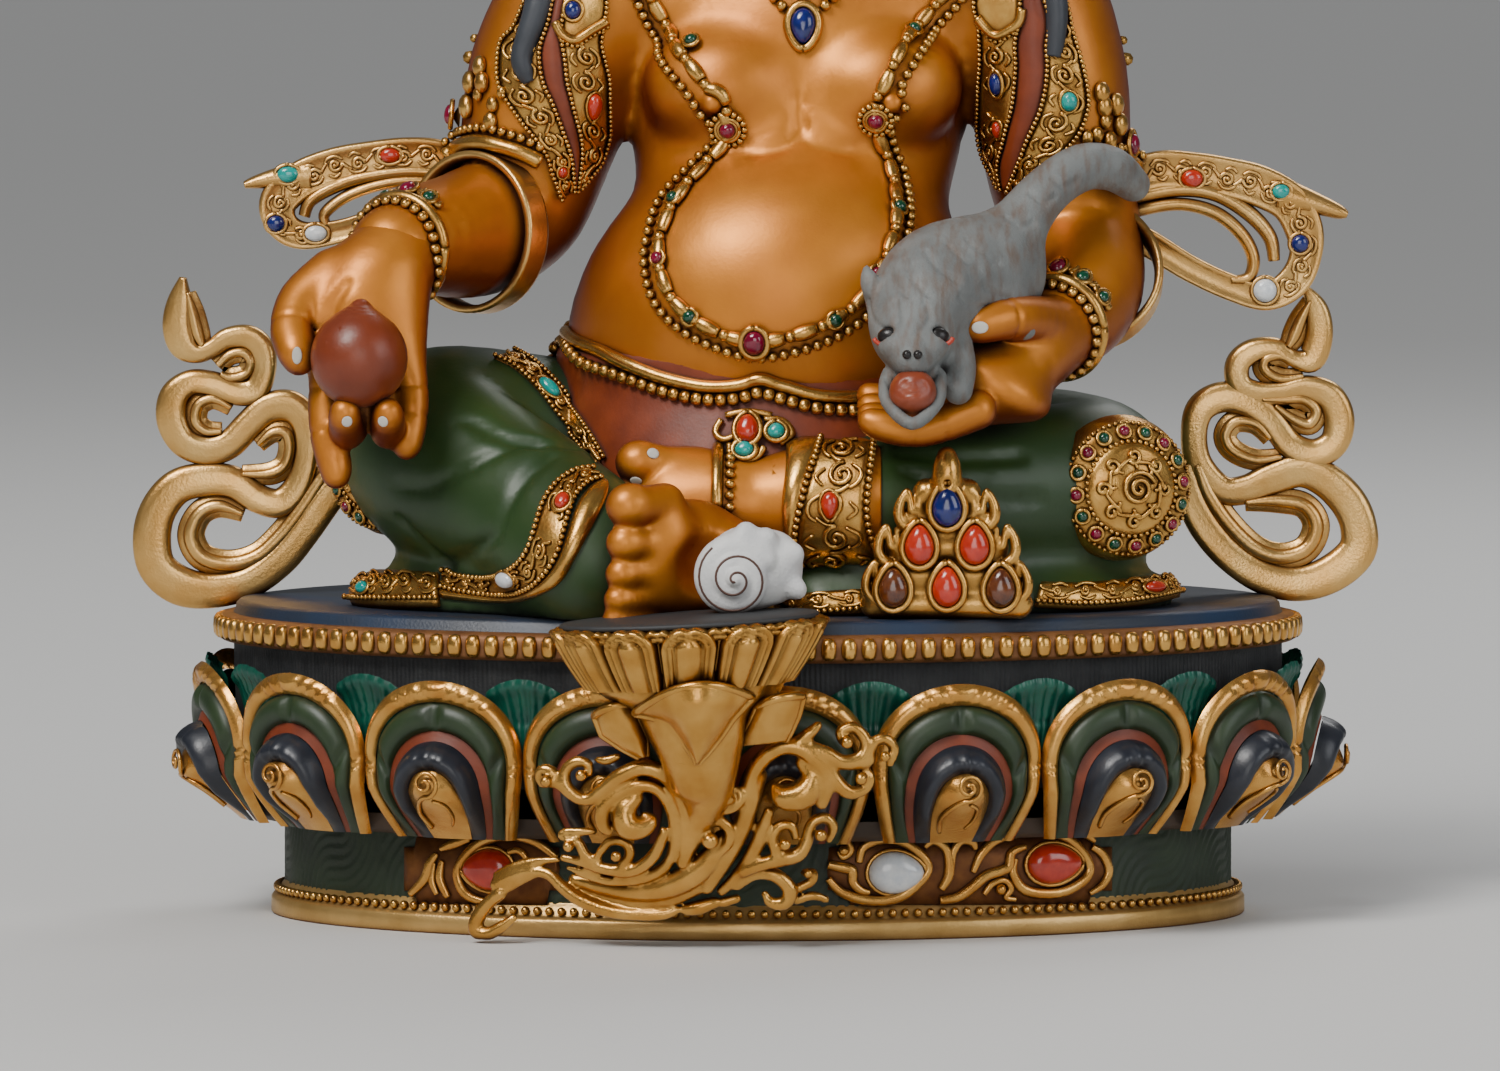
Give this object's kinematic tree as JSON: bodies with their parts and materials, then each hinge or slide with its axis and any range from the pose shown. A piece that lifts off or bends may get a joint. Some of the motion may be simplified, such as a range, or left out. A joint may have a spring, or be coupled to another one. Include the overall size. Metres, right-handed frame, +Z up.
{
  "type": "jambhala statue",
  "caption": "Seated wealth deity with a jewel-spitting mongoose and a citron on an oval lotus throne, cast metal, painted, gilt and set with stones.",
  "frame": {"origin": "middle of the throne's flat underside, on the surface that the statue stands on", "axes": "+Z up through the crown, the figure faces -Y, its left hand with the mongoose is towards +X"},
  "size_m": [0.1674, 0.1183, 0.1984],
  "materials": {
    "skin_paint": "satin golden orange paint with darker shaded sides",
    "gilding": "burnished gilding with brown patina in the recesses",
    "lotus_paint": "matte green paint",
    "trouser_paint": "satin green paint shaded towards the folds",
    "teal_paint": "satin paint",
    "blue_paint": "matte paint",
    "dark_paint": "satin paint",
    "red_paint": "satin paint",
    "hair_paint": "satin paint",
    "fur_paint": "matte paint with darker strokes",
    "citron_paint": "satin brick-brown paint",
    "shell_paint": "matte white paint with grey shading",
    "coral": "polished",
    "lapis": "polished",
    "turquoise": "polished",
    "pearl_shell": "polished mother-of-pearl",
    "amber": "polished, translucent brown",
    "ruby_glass": "faceted red cabochon",
    "emerald_glass": "faceted green cabochon"
  },
  "bodies": {
    "root": {"lotus_throne": "lotus_paint", "footrest_lotus": "gilding", "figure": "skin_paint", "citron": "citron_paint", "mongoose": "fur_paint", "conch_shell": "shell_paint", "scarf_lower_left": "gilding", "scarf_lower_right": "gilding", "scarf_upper_left": "gilding", "scarf_upper_right": "gilding", "jewel_pile": "gilding", "stone_lapis": "lapis", "stone_coral_a": "coral", "stone_coral_b": "coral", "stone_coral_c": "coral", "stone_amber_a": "amber", "stone_amber_b": "amber", "dado_stone_coral_left": "coral", "dado_stone_coral_right": "coral", "dado_stone_pearl": "pearl_shell"}
  },
  "joints": []
}
